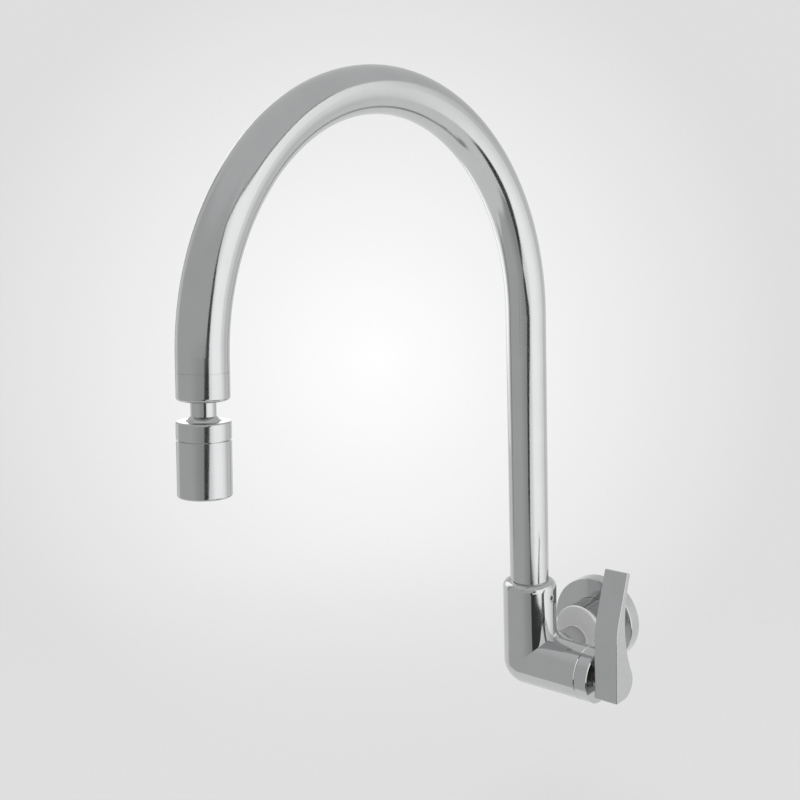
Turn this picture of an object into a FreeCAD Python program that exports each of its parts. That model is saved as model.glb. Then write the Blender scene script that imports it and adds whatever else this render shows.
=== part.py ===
import FreeCAD, Part
import math
import os
import re

import Sketcher

# A single-lever wall faucet with a tall swivel spout and a ball-jointed aerator.
#
# Frame: the wall is the plane y = 0 and the faucet stands out from it towards -y.
# +x runs along the wall to the lever's side and +z is up. The origin is the middle of
# the inlet, on the wall's face.
#
# Each piece is drawn in one of five places, named by PLACES further down: at the wall
# inlet (its own z points out of the wall), at the elbow (upright), along the valve arm
# (its own z points along the arm, to the lever), at the spout's outlet end and at the
# middle of the aerator's ball (their own z points back up the tube, which stops leaning).

# ---------------------------------------------------------------- sizes, in millimetres

SIZES = {
    # where the three axes lie
    "wall_distance": 55.8,      # wall to the upright axis of the spout
    "inlet_offset": 14.0,       # inlet axis from the spout's axis, towards the lever
    "inlet_rise": 10.7,         # inlet axis above the arm's axis

    # spout
    "tube_od": 22.2,
    "tube_wall": 1.2,
    "leg_height": 202.0,        # arm's axis to where the arch begins
    "arch_radius": 116.0,
    "outlet_lean": 3.2,         # degrees that the outlet's end stays short of upright
    "swivel_fit": 0.08,         # radial, tube and foot in the socket
    "seat_gap": 0.05,           # radial, between still pieces that fit in each other

    # casting
    "body_od": 30.8,            # arm and socket alike
    "mouth_round": 4.1,
    "elbow_blend": 6.0,         # rounding of the elbow's hollow, behind its middle
    "web_od": 16.0,             # bend that fills the hollow there
    "web_place": 6.2,           # the bend's middle from both axes, along them
    "web_depth": 3.7,           # and from the middle of the elbow, towards the wall
    "arm_length": 38.8,
    "boss_od": 29.2,
    "boss_face": 28.9,          # front face of the wall boss, behind the spout's axis
    "boss_edge": 0.5,
    "neck_od": 16.0,
    "neck_offset": 12.5,
    "neck_rise": 5.0,
    "wall_gap": 1.0,            # back of the boss to the wall
    "water_od": 11.0,           # passage from the valve seat up to the spout
    "feed_od": 8.0,             # passage from the boss to the valve chamber
    "feed_offset": 15.0,
    "chamber_od": 18.0,         # hollow of the boss behind its thread
    "chamber_wall": 3.0,        # left at the boss's front face

    # inlet and flange
    "thread_od": 20.955,        # half-inch parallel pipe thread
    "thread_depth": 13.0,
    "thread_edge": 0.8,
    "nipple_bore": 15.0,
    "nipple_reach": 18.0,       # past the wall's face
    "sieve_thick": 1.0,
    "sieve_hole": 1.5,
    "gasket_thick": 1.5,
    "flange_od": 52.8,
    "flange_depth": 8.85,
    "flange_wall": 1.6,
    "flange_edge": 0.8,
    "hub_wall": 2.6,
    "hub_clear": 1.5,           # hub's end to the wall
    "grip_cord": 1.6,           # section of the ring that grips the flange
    "grip_place": 4.2,          # the ring's middle, out from the wall
    "slide_fit": 0.1,           # radial, flange on the boss

    # spout foot in the socket
    "socket_floor": 14.0,
    "thrust_thick": 1.5,
    "foot_margin": 3.6,         # grub screw's middle to the foot's shoulder, under the tube
    "foot_bore": 14.0,
    "spigot_length": 12.0,
    "cord": 1.8,                # section of the spout's O-rings
    "seal_fit": 0.03,
    "groove_play": 0.4,         # a ring groove is this much wider than its ring
    "seal_low": 20.5,
    "seal_pitch": 6.5,
    "wiper_rise": 0.6,          # foot's shoulder to the wiper ring
    "wiper_thick": 2.4,
    "mouth_lip": 2.0,           # wiper ring to the socket's top
    "wiper_wall": 1.2,
    "grub_od": 5.0,
    "grub_height": 39.4,
    "grub_key": 2.5,
    "grub_tip": 3.2,
    "track_depth": 1.0,         # groove round the foot for the grub screw's tip

    # valve in the arm
    "seat_place": 10.5,         # seat face, from the elbow's centre
    "pocket_od": 19.0,
    "pocket_end": 25.5,
    "seal_thick": 2.0,
    "seal_wall": 2.6,
    "skirt_od": 16.4,
    "disc_od": 13.8,
    "disc_thick": 3.2,
    "disc_gap": 0.05,
    "disc_slot": 2.2,
    "slot_depth": 1.2,
    "driver_thick": 2.6,
    "window_width": 7.0,
    "spindle_od": 10.0,
    "spindle_fit": 0.06,
    "spindle_cord": 1.6,
    "spindle_seal": 28.5,
    "spindle_pitch": 5.0,
    "collar_od": 25.9,
    "collar_thick": 3.4,
    "hex_flats": 17.0,
    "hex_height": 2.4,
    "clip_thick": 0.7,
    "clip_od": 12.4,
    "spline_od": 8.0,
    "spline_length": 9.3,       # past the lever's inner face
    "spline_depth": 0.5,

    # ring and lever
    "ring_length": 8.0,
    "ring_lip": 2.0,
    "ring_hole": 15.0,
    "ring_edge": 0.4,
    "lever_gap": 2.5,
    "lever_width": 14.0,
    "lever_front": 10.5,        # front face, forward of the arm's axis
    "lever_straight": 25.0,     # where the front face starts to lean back
    "lever_top": 63.4,
    "lever_tip": 1.0,           # front corner of the tip, behind the arm's axis
    "lever_tip_thick": 3.4,
    "lever_tip_drop": 1.4,
    "front_bend": 38.0,
    "back_bend": 66.0,
    "heel_radius": 9.3,
    "heel_rise": 0.4,
    "heel_offset": 2.0,
    "lever_corner": 0.9,
    "lever_edge": 0.5,
    "insert_od": 11.0,
    "insert_length": 10.0,
    "screw_od": 4.0,
    "screw_length": 3.2,
    "screw_key": 2.0,

    # outlet
    "ferrule_length": 11.6,
    "ferrule_edge": 1.6,
    "ferrule_floor": 3.4,       # thread's end below the joint with the tube
    "stem_thread": 17.0,
    "washer_thick": 1.4,
    "stem_recess": 0.6,         # threaded head's face above the ferrule's rim
    "ball_drop": 24.0,          # joint with the tube down to the ball's middle
    "ball_od": 16.0,
    "ball_gap": 0.25,
    "neck_width": 10.6,
    "stem_bore": 6.4,
    "liner_wall": 1.05,
    "liner_gap": 0.3,
    "liner_top": 95.0,          # degrees from straight up, about the ball
    "liner_bottom": 138.0,
    "lip_angle": 72.0,
    "collar_above": 4.0,        # nut's top, above the ball's middle
    "collar_below": 3.25,
    "nut_od": 22.8,             # nut and shell alike
    "nut_edge": 0.9,
    "nut_wall": 0.8,
    "nut_skirt": 10.5,
    "nut_bore": 17.0,
    "joint_line": 0.6,
    "shell_bottom": 27.5,
    "shell_edge": 1.0,
    "shell_shoulder": 12.2,
    "shell_bore": 18.8,
    "shell_lip": 1.0,
    "outlet_od": 17.2,
    "aerator_gasket_thick": 1.4,
    "regulator_thick": 2.2,
    "regulator_hole": 1.2,
    "straightener_length": 9.8,
    "straightener_wall": 1.0,
    "rib_thick": 0.8,
    "screen_thick": 0.5,
    "screen_gap": 0.9,
    "screen_hole": 1.1,
}

COUNTS = {
    "sieve_holes": 8,
    "regulator_holes": 8,
    "ribs": 6,
    "splines": 16,
    "screen_inner": 6,
    "screen_middle": 12,
    "screen_outer": 18,
}

doc = FreeCAD.newDocument("wall_faucet")


def make_sheet():
    """Write every size and count into the sheet, each under its own alias."""
    table = doc.addObject("Spreadsheet::Sheet", "sizes")
    for row, (name, value) in enumerate({**SIZES, **COUNTS}.items(), start=1):
        table.set("A%d" % row, name)
        table.set("B%d" % row, str(value))
        table.setAlias("B%d" % row, name)
    doc.recompute()
    return table


sheet = make_sheet()

# Sizes that follow from those above, shared by the pieces that meet there.
TUBE = "(tube_od / 2)"
TUBE_BORE = "(tube_od / 2 - tube_wall)"
BODY = "(body_od / 2)"
SOCKET = "(tube_od / 2 + swivel_fit)"
FOOT_TOP = "(grub_height + foot_margin)"
WIPER_LOW = "(grub_height + foot_margin + wiper_rise)"
LEAN = "(outlet_lean * 1deg)"
OUTLET_REACH = "(arch_radius + arch_radius / cos(outlet_lean * 1deg))"
SOCKET_TOP = "(grub_height + foot_margin + wiper_rise + wiper_thick + mouth_lip)"
BOSS = "(boss_od / 2)"
BOSS_BACK = "(wall_distance - wall_gap)"
THREAD = "(thread_od / 2)"
TAPPED = "(thread_od / 2 + seat_gap)"
RING_END = "(arm_length + ring_length)"
SKIRT_START = "(seat_place + 0.5 * seal_thick)"
LEVER_START = "(arm_length + ring_length + lever_gap)"
DISC_START = "(seat_place + seal_thick + disc_gap)"
DISC_MOVES = "(seat_place + seal_thick + disc_thick + 2 * disc_gap)"
DRIVER = "(seat_place + seal_thick + 2 * disc_thick + 3 * disc_gap)"
SPINDLE = "(spindle_od / 2)"
SPLINE_END = "(arm_length + ring_length + lever_gap + spline_length)"
HEX_END = "(arm_length + collar_thick + hex_height)"
BALL_SEAT = "(ball_od / 2 + ball_gap)"
CAVITY = "(ball_od / 2 + ball_gap + liner_wall + liner_gap)"
NUT = "(nut_od / 2)"
NUT_THREAD = "(tube_od / 2 - nut_wall)"
SHELL_BORE = "(shell_bore / 2)"

# Where each group of pieces is drawn: the place's own origin, then how it is turned.
UPRIGHT = FreeCAD.Rotation()
ALONG_ARM = FreeCAD.Rotation(FreeCAD.Vector(0, 1, 0), 90)
OUT_OF_WALL = FreeCAD.Rotation(FreeCAD.Vector(1, 0, 0), 90)
DOWN = FreeCAD.Rotation(FreeCAD.Vector(1, 0, 0), 180)
LEANING = FreeCAD.Rotation(FreeCAD.Vector(-1, 0, 0), SIZES["outlet_lean"])
PLACES = {
    "inlet": ("0", "0", "0", OUT_OF_WALL),
    "elbow": ("-inlet_offset", "-wall_distance", "-inlet_rise", UPRIGHT),
    "arm": ("-inlet_offset", "-wall_distance", "-inlet_rise", ALONG_ARM),
    "outlet": ("-inlet_offset", "-wall_distance - " + OUTLET_REACH,
               "leg_height - inlet_rise", LEANING),
    "ball": ("-inlet_offset",
             "-wall_distance - " + OUTLET_REACH + " - ball_drop * sin" + LEAN,
             "leg_height - ball_drop * cos" + LEAN + " - inlet_rise", LEANING),
    "grub": ("-inlet_offset", "-wall_distance", "grub_height - inlet_rise", ALONG_ARM),
    "lever_screw": (LEVER_START + " + insert_length / 2 - inlet_offset",
                    "-wall_distance", "-inlet_rise", DOWN),
}


# ------------------------------------------------------------------------- drawing helpers

def bound(formula):
    """Name the sheet in front of each of its aliases."""
    def with_sheet(found):
        word = found.group(0)
        return "sizes." + word if word in SIZES or word in COUNTS else word
    return re.sub(r"[a-z]+(?:_[a-z]+)*", with_sheet, formula)


def number(formula):
    """The present value of a formula in the sheet's sizes."""
    value = sheet.evalExpression(bound(formula))
    return float(getattr(value, "Value", value))


def bind(thing, prop, formula):
    thing.setExpression(prop, bound(formula))


def put(thing, place):
    """Set a sub-part in its place, tied to the sheet."""
    across, deep, high, turn = PLACES[place]
    base = FreeCAD.Vector(number(across), number(deep), number(high))
    thing.Placement = FreeCAD.Placement(base, turn)
    bind(thing, "Placement.Base.x", across)
    bind(thing, "Placement.Base.y", deep)
    bind(thing, "Placement.Base.z", high)
    if turn is LEANING:
        bind(thing, "Placement.Rotation.Angle", LEAN)


def start_body(label, place):
    body = doc.addObject("PartDesign::Body", label)
    body.Label = label
    put(body, place)
    return body


def sketch_on(body, plane, name, lift="0"):
    """A sketch on one of the body's own planes, lifted along that plane's normal."""
    sketch = body.newObject("Sketcher::SketchObject", body.Name + "_" + name)
    own = [item for item in body.Origin.OriginFeatures if item.Role == plane]
    sketch.AttachmentSupport = [(own[0], "")]
    sketch.MapMode = "FlatFace"
    if lift != "0":
        bind(sketch, "AttachmentOffset.Base.z", lift)
    return sketch


def hold(sketch, edge, end, across, up):
    """Tie a point of the sketch to formulas for its place; None leaves it free."""
    for kind, axis, formula in (("DistanceX", -2, across), ("DistanceY", -1, up)):
        if formula is None:
            continue
        if formula == "0":
            sketch.addConstraint(Sketcher.Constraint("PointOnObject", edge, end, axis))
            continue
        row = sketch.addConstraint(
            Sketcher.Constraint(kind, -1, 1, edge, end, number(formula)))
        bind(sketch, "Constraints[%d]" % row, formula)


def outline(sketch, corners, arcs=None):
    """Close an outline through the corners, given as (across, up) formulas.

    arcs maps the number of an edge to its centre and to whether it runs
    anticlockwise. The corner that ends an arc keeps its distance across, and its
    height follows from the arc, unless the edge's fourth value says "up".
    """
    arcs = arcs or {}
    count = len(corners)
    spots = [FreeCAD.Vector(number(x), number(y), 0) for x, y in corners]
    starts = {}
    ends = {}
    for i in range(count):
        first, last = spots[i], spots[(i + 1) % count]
        starts[i], ends[i] = 1, 2
        if i in arcs:
            middle = FreeCAD.Vector(number(arcs[i][0]), number(arcs[i][1]), 0)
            ring = Part.Circle(middle, FreeCAD.Vector(0, 0, 1), (first - middle).Length)
            angles = [math.atan2(p.y - middle.y, p.x - middle.x) for p in (first, last)]
            if not arcs[i][2]:
                angles.reverse()
                starts[i], ends[i] = 2, 1
            sketch.addGeometry(Part.ArcOfCircle(ring, *angles), False)
        else:
            sketch.addGeometry(Part.LineSegment(first, last), False)
    for i in range(count):
        after = (i + 1) % count
        sketch.addConstraint(
            Sketcher.Constraint("Coincident", i, ends[i], after, starts[after]))
    for i, arc in arcs.items():
        hold(sketch, i, 3, arc[0], arc[1])
    for i, (across, up) in enumerate(corners):
        before = (i - 1) % count
        if before in arcs:
            keeps_up = len(arcs[before]) > 3 and arcs[before][3] == "up"
            across, up = (None, up) if keeps_up else (across, None)
        hold(sketch, i, starts[i], across, up)


def circle(sketch, radius, across="0", up="0"):
    """A circle of the given radius about the given point."""
    middle = FreeCAD.Vector(number(across), number(up), 0)
    ring = Part.Circle(middle, FreeCAD.Vector(0, 0, 1), number(radius))
    edge = sketch.addGeometry(ring, False)
    if across == "0" and up == "0":
        sketch.addConstraint(Sketcher.Constraint("Coincident", edge, 3, -1, 1))
    else:
        hold(sketch, edge, 3, across, up)
    row = sketch.addConstraint(Sketcher.Constraint("Radius", edge, number(radius)))
    bind(sketch, "Constraints[%d]" % row, radius)
    return edge


def rectangle(sketch, left, bottom, right, top):
    outline(sketch, [(left, bottom), (right, bottom), (right, top), (left, top)])


def feature(body, kind, name, sketch=None):
    item = body.newObject("PartDesign::" + kind, body.Name + "_" + name)
    if sketch is not None:
        item.Profile = sketch
    return item


def pad(body, name, sketch, length, backwards=False):
    item = feature(body, "Pad", name, sketch)
    bind(item, "Length", length)
    item.Reversed = backwards
    return item


def cut(body, name, sketch, length, backwards=False):
    """A pocket that has to take something away."""
    doc.recompute()
    before = body.Shape.Volume
    item = feature(body, "Pocket", name, sketch)
    bind(item, "Length", length)
    item.Reversed = backwards
    doc.recompute()
    if not body.Shape.Volume < before - 1e-6:
        raise RuntimeError(body.Label + ": " + name + " cuts nothing")
    return item


def turn(body, name, corners, arcs=None, about="V_Axis", kind="Revolution"):
    """Turn an outline, drawn as (radius, height), about the body's own z axis."""
    sketch = sketch_on(body, "XZ_Plane", name + "_outline")
    outline(sketch, corners, arcs)
    item = feature(body, kind, name, sketch)
    item.ReferenceAxis = (sketch, [about])
    item.Angle = 360
    return item


def turned(label, place, corners, arcs=None):
    """A whole sub-part turned from one outline."""
    body = start_body(label, place)
    turn(body, "turned", corners, arcs)
    doc.recompute()
    return body


def round_pattern(body, name, item, count):
    """Repeat a feature round the body's own z axis."""
    pattern = body.newObject("PartDesign::PolarPattern", body.Name + "_" + name)
    pattern.Originals = [item]
    axis = [a for a in body.Origin.OriginFeatures if a.Role == "Z_Axis"][0]
    pattern.Axis = (axis, [""])
    pattern.Angle = 360
    bind(pattern, "Occurrences", count)
    body.Tip = pattern
    doc.recompute()
    return pattern


def edges_where(shape, test):
    """Names of the shape's edges whose middle passes the test."""
    names = []
    for i, edge in enumerate(shape.Edges, start=1):
        middle = edge.valueAt((edge.FirstParameter + edge.LastParameter) / 2)
        if test(middle, edge):
            names.append("Edge%d" % i)
    return names


def dress(body, kind, name, test, size):
    """A fillet or chamfer on the edges of the body's last feature that pass the test."""
    doc.recompute()
    base = body.Tip
    item = feature(body, kind, name)
    item.Base = (base, edges_where(base.Shape, test))
    bind(item, "Radius" if kind == "Fillet" else "Size", size)
    doc.recompute()
    return item


def o_ring(label, place, ring_radius, cord, lift):
    """A rubber ring of round section, lifted along its place's own z."""
    ring = doc.addObject("Part::Torus", label)
    ring.Label = label
    bind(ring, "Radius1", ring_radius)
    bind(ring, "Radius2", cord + " / 2")
    across, deep, high, turned_by = PLACES[place]
    way = turned_by.multVec(FreeCAD.Vector(0, 0, 1))
    base = [across, deep, high]
    for i, share in enumerate(way):
        if abs(share) > 0.5:
            base[i] += (" + " if share > 0 else " - ") + lift
    spot = FreeCAD.Vector(*[number(formula) for formula in base])
    ring.Placement = FreeCAD.Placement(spot, turned_by)
    for axis, formula in zip("xyz", base):
        bind(ring, "Placement.Base." + axis, formula)
    doc.recompute()
    return ring


def hexagon(sketch, flats):
    """A six-sided outline about the sketch's middle, measured across its flats."""
    half = flats + " / 2"
    reach = flats + " / 2 / cos(30deg)"
    outline(sketch, [("0", reach), ("-" + half, reach + " / 2"),
                     ("-" + half, "-" + reach + " / 2"), ("0", "-" + reach),
                     (half, "-" + reach + " / 2"), (half, reach + " / 2")])


def washer(label, place, inner, outer, bottom, top):
    return turned(label, place, [(inner, bottom), (outer, bottom), (outer, top), (inner, top)])


# ------------------------------------------------------------------------ casting and wall

def body_casting():
    """Arm, socket and round elbow in one, with the boss that meets the wall."""
    body = start_body("body_casting", "elbow")
    corner = feature(body, "AdditiveSphere", "corner")
    bind(corner, "Radius", BODY)

    arm = sketch_on(body, "YZ_Plane", "arm_section")
    circle(arm, BODY)
    pad(body, "arm", arm, "arm_length")
    doc.recompute()
    dress(body, "Chamfer", "arm_edge",
          lambda p, edge: abs(p.x - number("arm_length")) < 0.01, "ring_edge")

    socket = sketch_on(body, "XY_Plane", "socket_section")
    circle(socket, BODY)
    pad(body, "socket", socket, SOCKET_TOP)
    doc.recompute()
    dress(body, "Fillet", "mouth",
          lambda p, edge: abs(p.z - number(SOCKET_TOP)) < 0.01, "mouth_round")

    # the branches meet in a sharp crease; behind the middle a small bend rounds it
    reach = "(web_od / 2 + elbow_blend)"
    heart = "(web_place + web_od / 2 + elbow_blend)"
    path = sketch_on(body, "XZ_Plane", "bend_path", "-web_depth")
    middle = number(heart)
    ring = Part.Circle(FreeCAD.Vector(middle, middle, 0), FreeCAD.Vector(0, 0, 1),
                       number(reach))
    path.addGeometry(Part.ArcOfCircle(ring, math.pi, 1.5 * math.pi), False)
    hold(path, 0, 3, heart, heart)
    hold(path, 0, 1, "web_place", heart)
    hold(path, 0, 2, heart, None)
    section = sketch_on(body, "XY_Plane", "bend_section", heart)
    circle(section, "web_od / 2", "web_place", "web_depth")
    pipe = feature(body, "AdditivePipe", "bend", section)
    pipe.Spine = (path, ["Edge1"])

    neck = sketch_on(body, "XZ_Plane", "neck_section")
    circle(neck, "neck_od / 2", "neck_offset", "neck_rise")
    pad(body, "neck", neck, "boss_face + boss_edge", backwards=True)
    boss = sketch_on(body, "XZ_Plane", "boss_section", "-boss_face")
    circle(boss, BOSS, "inlet_offset", "inlet_rise")
    pad(body, "boss", boss, BOSS_BACK + " - boss_face", backwards=True)
    doc.recompute()
    rim = number(BOSS)
    dress(body, "Chamfer", "boss_rim",
          lambda p, edge: abs(p.y - number("boss_face")) < 0.01
          and abs(edge.Length - 2 * math.pi * rim) < 0.1, "boss_edge")

    # waterways: up through the socket, along the arm, and in from the wall
    wiper = "(tube_od / 2 + swivel_fit + wiper_wall)"
    wiper_top = WIPER_LOW + " + wiper_thick"
    above = SOCKET_TOP + " + 1"
    turn(body, "socket_bore",
         [("0", "0"), ("water_od / 2", "0"), ("water_od / 2", "socket_floor"),
          (SOCKET, "socket_floor"), (SOCKET, WIPER_LOW), (wiper, WIPER_LOW),
          (wiper, wiper_top), (SOCKET, wiper_top), (SOCKET, above), ("0", above)],
         kind="Groove")
    turn(body, "arm_bore",
         [("0", "0"), ("0", "water_od / 2"), ("seat_place", "water_od / 2"),
          ("seat_place", "pocket_od / 2"), ("pocket_end", "pocket_od / 2"),
          ("pocket_end", TAPPED), ("arm_length + 1", TAPPED), ("arm_length + 1", "0")],
         about="H_Axis", kind="Groove")
    tapped = sketch_on(body, "XZ_Plane", "inlet_section", "-" + BOSS_BACK)
    circle(tapped, TAPPED, "inlet_offset", "inlet_rise")
    cut(body, "inlet_thread", tapped, "thread_depth", backwards=True)
    chamber = sketch_on(body, "XZ_Plane", "chamber_section", "-" + BOSS_BACK)
    circle(chamber, "chamber_od / 2", "inlet_offset", "inlet_rise")
    cut(body, "chamber", chamber, BOSS_BACK + " - boss_face - chamber_wall", backwards=True)
    feed = sketch_on(body, "XZ_Plane", "feed_section")
    circle(feed, "feed_od / 2", "feed_offset", "neck_rise")
    cut(body, "feed", feed, "boss_face + chamber_wall + 1")
    grub = sketch_on(body, "YZ_Plane", "grub_section")
    circle(grub, "grub_od / 2", "0", "grub_height")
    cut(body, "grub_hole", grub, BODY + " + 1", backwards=True)
    return body


def inlet_nipple():
    """Nipple with a thread into the wall's fitting, a relief and a thread in the boss."""
    edge = "(thread_od / 2 - thread_edge)"
    top = "(wall_gap + thread_depth - gasket_thick - 2 * seat_gap)"
    bore = "nipple_bore / 2"
    return turned("inlet_nipple", "inlet",
                  [(bore, "-nipple_reach"), (edge, "-nipple_reach"),
                   (THREAD, "thread_edge - nipple_reach"), (THREAD, "0"), (edge, "0"),
                   (edge, "wall_gap"), (THREAD, "wall_gap"),
                   (THREAD, top + " - thread_edge"), (edge, top), (bore, top)])


def inlet_gasket():
    """Fibre ring between the nipple's end and the shoulder inside the boss."""
    top = "(wall_gap + thread_depth - seat_gap)"
    return washer("inlet_gasket", "inlet", "nipple_bore / 2", "thread_od / 2 - thread_edge",
                  top + " - gasket_thick", top)


def inlet_sieve():
    """Perforated disc in the mouth of the nipple."""
    body = start_body("inlet_sieve", "inlet")
    bottom = "(thread_edge - nipple_reach)"
    outer = "(nipple_bore / 2 - seat_gap)"
    turn(body, "turned", [("0", bottom), (outer, bottom), (outer, bottom + " + sieve_thick"),
                          ("0", bottom + " + sieve_thick")])
    for name, share, count in (("outer", "0.7", "2 * sieve_holes"),
                               ("inner", "0.35", "sieve_holes")):
        hole = sketch_on(body, "XY_Plane", name + "_hole", bottom)
        circle(hole, "sieve_hole / 2", share + " * nipple_bore / 2", "0")
        item = cut(body, name + "_drilled", hole, "sieve_thick + 1", backwards=True)
        round_pattern(body, name + "_holes", item, count)
    return body


def wall_flange():
    """Pressed cover plate: a shallow cup whose hub slides on the boss."""
    bore = "(boss_od / 2 + slide_fit)"
    hub = "(boss_od / 2 + slide_fit + hub_wall)"
    groove = "(boss_od / 2 + slide_fit + grip_cord)"
    rim = "flange_od / 2"
    low = "grip_place - (grip_cord + groove_play) / 2"
    high = "grip_place + (grip_cord + groove_play) / 2"
    return turned("wall_flange", "inlet",
                  [(bore, "flange_depth"), (bore, high), (groove, high), (groove, low),
                   (bore, low), (bore, "hub_clear"), (hub, "hub_clear"),
                   (hub, "flange_depth - flange_wall"),
                   (rim + " - flange_wall", "flange_depth - flange_wall"),
                   (rim + " - flange_wall", "0"), (rim, "0"),
                   (rim, "flange_depth - flange_edge"),
                   (rim + " - flange_edge", "flange_depth")],
                  {11: (rim + " - flange_edge", "flange_depth - flange_edge", True)})


def flange_grip():
    """Rubber ring in the flange's hub, which grips the boss."""
    return o_ring("flange_grip", "inlet", "boss_od / 2 + grip_cord / 2 + seal_fit",
                  "grip_cord", "grip_place")


# ---------------------------------------------------------------------- spout in its socket

def seal_groove(middle, floor, land, cord):
    """The corners of a groove for a ring of this section, from below upwards."""
    low = middle + " - (" + cord + " + groove_play) / 2"
    high = middle + " + (" + cord + " + groove_play) / 2"
    return [(land, low), (floor, low), (floor, high), (land, high)]


def spout_foot():
    """Sleeve under the tube: two ring grooves, the retaining track and a spigot."""
    bottom = "(socket_floor + thrust_thick + 3 * seat_gap)"
    floor = "(tube_od / 2 + swivel_fit - cord - seat_gap)"
    track = "(tube_od / 2 - track_depth)"
    spigot = "(tube_od / 2 - tube_wall - seat_gap)"
    corners = [("foot_bore / 2", bottom), (TUBE, bottom)]
    corners += seal_groove("seal_low", floor, TUBE, "cord")
    corners += seal_groove("(seal_low + seal_pitch)", floor, TUBE, "cord")
    corners += seal_groove("grub_height", track, TUBE, "grub_od")
    corners += [(TUBE, FOOT_TOP), (spigot, FOOT_TOP),
                (spigot, FOOT_TOP + " + spigot_length"),
                ("foot_bore / 2", FOOT_TOP + " + spigot_length")]
    return turned("spout_foot", "elbow", corners)


def foot_seals():
    radius = "tube_od / 2 + swivel_fit - seal_fit - cord / 2"
    o_ring("foot_seal_lower", "elbow", radius, "cord", "seal_low")
    o_ring("foot_seal_upper", "elbow", radius, "cord", "seal_low + seal_pitch")


def spout_tube():
    """Bent tube: upright leg, nearly half a circle, and a short straight end."""
    body = start_body("spout_tube", "elbow")
    path = sketch_on(body, "YZ_Plane", "path")
    low, high, radius, lean = (number(n) for n in (FOOT_TOP, "leg_height", "arch_radius",
                                                   "outlet_lean"))
    lean = math.radians(lean)
    middle = FreeCAD.Vector(-radius, high, 0)
    bent = middle + radius * FreeCAD.Vector(-math.cos(lean), math.sin(lean), 0)
    path.addGeometry(Part.LineSegment(FreeCAD.Vector(0, low, 0),
                                      FreeCAD.Vector(0, high, 0)), False)
    ring = Part.Circle(middle, FreeCAD.Vector(0, 0, 1), radius)
    path.addGeometry(Part.ArcOfCircle(ring, 0, math.pi - lean), False)
    path.addGeometry(Part.LineSegment(bent, FreeCAD.Vector(-number(OUTLET_REACH), high, 0)),
                     False)
    hold(path, 0, 1, "0", FOOT_TOP)
    hold(path, 0, 2, "0", "leg_height")
    path.addConstraint(Sketcher.Constraint("Coincident", 0, 2, 1, 1))
    hold(path, 1, 3, "-arch_radius", "leg_height")
    hold(path, 1, 2, None, "leg_height + arch_radius * sin" + LEAN)
    path.addConstraint(Sketcher.Constraint("Coincident", 1, 2, 2, 1))
    hold(path, 2, 2, "-" + OUTLET_REACH, "leg_height")
    section = sketch_on(body, "XY_Plane", "section", FOOT_TOP)
    circle(section, TUBE)
    circle(section, TUBE_BORE)
    pipe = feature(body, "AdditivePipe", "bent", section)
    pipe.Spine = (path, ["Edge1", "Edge2", "Edge3"])
    return body


def thrust_washer():
    bottom = "(socket_floor + seat_gap)"
    return washer("thrust_washer", "elbow", "foot_bore / 2", TUBE,
                  bottom, bottom + " + thrust_thick")


def wiper_ring():
    """Split ring in the socket's mouth that steadies the tube."""
    body = start_body("wiper_ring", "elbow")
    outer = "(tube_od / 2 + swivel_fit + wiper_wall - seat_gap)"
    low = "(" + WIPER_LOW + " + seat_gap)"
    high = "(" + WIPER_LOW + " + wiper_thick - seat_gap)"
    turn(body, "turned", [(SOCKET, low), (outer, low), (outer, high), (SOCKET, high)])
    split = sketch_on(body, "XY_Plane", "split_outline")
    rectangle(split, "-tube_od", "-wiper_wall / 2", "0", "wiper_wall / 2")
    cut(body, "split", split, SOCKET_TOP, backwards=True)
    return body


def grub_screw():
    """Set screw in the socket's side; its tip runs in the track round the foot."""
    body = start_body("grub_screw", "grub")
    start = "(tube_od / 2 - track_depth + 3 * seat_gap)"
    step = "(tube_od / 2 + 3 * swivel_fit)"
    end = "(body_od / 2 - 0.4)"
    thread = "(grub_od / 2 - seat_gap)"
    turn(body, "turned", [("0", start), ("grub_tip / 2", start), ("grub_tip / 2", step),
                          (thread, step), (thread, end), ("0", end)])
    key = sketch_on(body, "XY_Plane", "key_outline", end)
    hexagon(key, "grub_key")
    cut(body, "key", key, "0.8 * grub_key")
    return body


# ------------------------------------------------------------------------ valve in the arm

def seat_seal():
    return washer("seat_seal", "arm", "disc_od / 2 - seal_wall", "disc_od / 2",
                  "seat_place", "seat_place + seal_thick")


def valve_disc(label, bottom, slotted):
    """Ceramic disc with a pair of ports; the moving one is slotted for the spindle."""
    body = start_body(label, "arm")
    top = "(" + bottom + " + disc_thick)"
    turn(body, "turned", [("0", bottom), ("disc_od / 2", bottom), ("disc_od / 2", top),
                          ("0", top)])
    for name, side in (("left_port", "-"), ("right_port", "")):
        port = sketch_on(body, "XY_Plane", name + "_outline", bottom)
        circle(port, "disc_od / 7", side + "disc_od / 4", "0")
        cut(body, name, port, "disc_thick + 1", backwards=True)
    if slotted:
        slot = sketch_on(body, "XY_Plane", "slot_outline", top)
        rectangle(slot, "-disc_slot / 2", "-disc_od", "disc_slot / 2", "disc_od")
        cut(body, "slot", slot, "slot_depth")
    return body


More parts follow.
